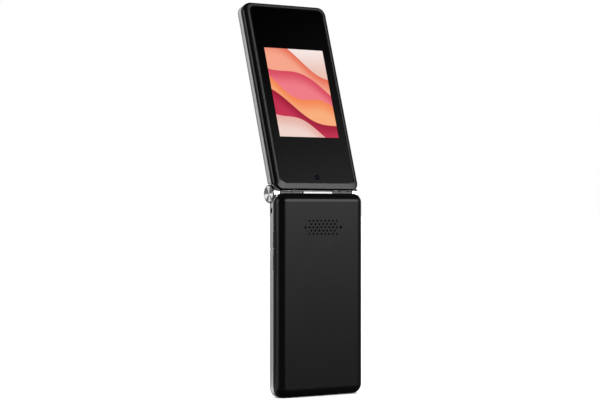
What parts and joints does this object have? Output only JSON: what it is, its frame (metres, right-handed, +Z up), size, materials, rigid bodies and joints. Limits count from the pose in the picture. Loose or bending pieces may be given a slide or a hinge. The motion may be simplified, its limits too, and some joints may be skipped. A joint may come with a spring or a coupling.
{
  "type": "flip phone",
  "caption": "Flip phone with a keypad base and a hinged lid that carries an outer and an inner display.",
  "frame": {"origin": "centre of the flat bottom end of the base's side band", "axes": "+Z up along the base towards the hinge, X along the hinge, -Y the keypad side, +Y the back"},
  "size_m": [0.0532, 0.0417, 0.2032],
  "materials": {
    "band_silver": "satin",
    "hinge_chrome": "polished",
    "case_black": "satin",
    "shell_black": "gloss",
    "lid_glass": "gloss",
    "lens": "gloss",
    "display": "lit picture behind glass",
    "key_silver": "satin",
    "key_grey": "satin",
    "key_black": "satin",
    "soft_rubber": "matt",
    "spring_steel": "bright",
    "plain_steel": "bright",
    "chassis": "matt",
    "board": "satin",
    "battery_label": "satin",
    "contacts": "bright",
    "small_plastic": "matt",
    "mesh": "matt",
    "flex": "satin"
  },
  "bodies": {
    "base": {"base_frame": "band_silver", "base_fascia": "case_black", "rear_cover": "case_black", "side_switches": "small_plastic", "key_membrane": "soft_rubber", "dome_sheet": "spring_steel", "main_board": "board", "board_shields": "plain_steel", "base_chassis": "chassis", "battery": "battery_label", "battery_contacts": "contacts", "sim_holder": "contacts", "loudspeaker": "small_plastic", "speaker_mesh": "mesh", "vibration_motor": "plain_steel", "microphone": "small_plastic", "usb_socket": "plain_steel", "antenna": "flex", "base_screws": "spring_steel", "hinge_cap_left": "hinge_chrome", "hinge_cap_right": "hinge_chrome", "hinge_shaft": "plain_steel", "pivot_pin": "plain_steel"},
    "lid": {"lid_frame": "band_silver", "lid_shell": "shell_black", "lid_glass": "lid_glass", "lid_fascia": "case_black", "inner_lens": "lens", "inner_display": "display", "outer_display": "display", "lid_board": "board", "earpiece": "small_plastic", "camera_module": "small_plastic", "lid_screws": "spring_steel", "lid_bumpers": "soft_rubber", "barrel_cover": "hinge_chrome", "hinge_can": "plain_steel", "hinge_cam": "chassis", "hinge_spring": "spring_steel", "display_flex": "flex"},
    "key_1": {"key_1": "key_silver"},
    "key_2": {"key_2": "key_silver"},
    "key_3": {"key_3": "key_silver"},
    "key_4": {"key_4": "key_silver"},
    "key_5": {"key_5": "key_silver"},
    "key_6": {"key_6": "key_silver"},
    "key_7": {"key_7": "key_silver"},
    "key_8": {"key_8": "key_silver"},
    "key_9": {"key_9": "key_silver"},
    "key_star": {"key_star": "key_silver"},
    "key_0": {"key_0": "key_silver"},
    "key_hash": {"key_hash": "key_silver"},
    "soft_key_left": {"soft_key_left": "key_grey"},
    "soft_key_right": {"soft_key_right": "key_grey"},
    "call_key": {"call_key": "key_grey"},
    "end_key": {"end_key": "key_grey"},
    "nav_ring": {"nav_ring": "key_grey"},
    "ok_key": {"ok_key": "key_grey"},
    "side_key_upper": {"side_key_upper": "key_black"},
    "side_key_lower": {"side_key_lower": "key_black"}
  },
  "joints": [
    {"name": "lid_hinge", "type": "hinge", "parent": "base", "child": "lid", "pos_m": [0, -0.00255, 0.1032], "axis": [1, 0, 0], "range_deg": [0, 162.2]},
    {"name": "key_1_press", "type": "slide", "parent": "base", "child": "key_1", "axis": [0, 1, 0], "range_m": [0, 0.0003], "stiffness_N_per_m": 500, "springref_m": -0.0002},
    {"name": "key_2_press", "type": "slide", "parent": "base", "child": "key_2", "axis": [0, 1, 0], "range_m": [0, 0.0003], "stiffness_N_per_m": 500, "springref_m": -0.0002},
    {"name": "key_3_press", "type": "slide", "parent": "base", "child": "key_3", "axis": [0, 1, 0], "range_m": [0, 0.0003], "stiffness_N_per_m": 500, "springref_m": -0.0002},
    {"name": "key_4_press", "type": "slide", "parent": "base", "child": "key_4", "axis": [0, 1, 0], "range_m": [0, 0.0003], "stiffness_N_per_m": 500, "springref_m": -0.0002},
    {"name": "key_5_press", "type": "slide", "parent": "base", "child": "key_5", "axis": [0, 1, 0], "range_m": [0, 0.0003], "stiffness_N_per_m": 500, "springref_m": -0.0002},
    {"name": "key_6_press", "type": "slide", "parent": "base", "child": "key_6", "axis": [0, 1, 0], "range_m": [0, 0.0003], "stiffness_N_per_m": 500, "springref_m": -0.0002},
    {"name": "key_7_press", "type": "slide", "parent": "base", "child": "key_7", "axis": [0, 1, 0], "range_m": [0, 0.0003], "stiffness_N_per_m": 500, "springref_m": -0.0002},
    {"name": "key_8_press", "type": "slide", "parent": "base", "child": "key_8", "axis": [0, 1, 0], "range_m": [0, 0.0003], "stiffness_N_per_m": 500, "springref_m": -0.0002},
    {"name": "key_9_press", "type": "slide", "parent": "base", "child": "key_9", "axis": [0, 1, 0], "range_m": [0, 0.0003], "stiffness_N_per_m": 500, "springref_m": -0.0002},
    {"name": "key_star_press", "type": "slide", "parent": "base", "child": "key_star", "axis": [0, 1, 0], "range_m": [0, 0.0003], "stiffness_N_per_m": 500, "springref_m": -0.0002},
    {"name": "key_0_press", "type": "slide", "parent": "base", "child": "key_0", "axis": [0, 1, 0], "range_m": [0, 0.0003], "stiffness_N_per_m": 500, "springref_m": -0.0002},
    {"name": "key_hash_press", "type": "slide", "parent": "base", "child": "key_hash", "axis": [0, 1, 0], "range_m": [0, 0.0003], "stiffness_N_per_m": 500, "springref_m": -0.0002},
    {"name": "soft_key_left_press", "type": "slide", "parent": "base", "child": "soft_key_left", "axis": [0, 1, 0], "range_m": [0, 0.0003], "stiffness_N_per_m": 500, "springref_m": -0.0002},
    {"name": "soft_key_right_press", "type": "slide", "parent": "base", "child": "soft_key_right", "axis": [0, 1, 0], "range_m": [0, 0.0003], "stiffness_N_per_m": 500, "springref_m": -0.0002},
    {"name": "call_key_press", "type": "slide", "parent": "base", "child": "call_key", "axis": [0, 1, 0], "range_m": [0, 0.0003], "stiffness_N_per_m": 500, "springref_m": -0.0002},
    {"name": "end_key_press", "type": "slide", "parent": "base", "child": "end_key", "axis": [0, 1, 0], "range_m": [0, 0.0003], "stiffness_N_per_m": 500, "springref_m": -0.0002},
    {"name": "nav_ring_press", "type": "slide", "parent": "base", "child": "nav_ring", "axis": [0, 1, 0], "range_m": [0, 0.0003], "stiffness_N_per_m": 500, "springref_m": -0.0002},
    {"name": "ok_key_press", "type": "slide", "parent": "base", "child": "ok_key", "axis": [0, 1, 0], "range_m": [0, 0.0003], "stiffness_N_per_m": 500, "springref_m": -0.0002},
    {"name": "side_key_upper_press", "type": "slide", "parent": "base", "child": "side_key_upper", "axis": [-1, 0, 0], "range_m": [0, 0.0003], "stiffness_N_per_m": 500, "springref_m": -0.0002},
    {"name": "side_key_lower_press", "type": "slide", "parent": "base", "child": "side_key_lower", "axis": [-1, 0, 0], "range_m": [0, 0.0003], "stiffness_N_per_m": 500, "springref_m": -0.0002}
  ]
}
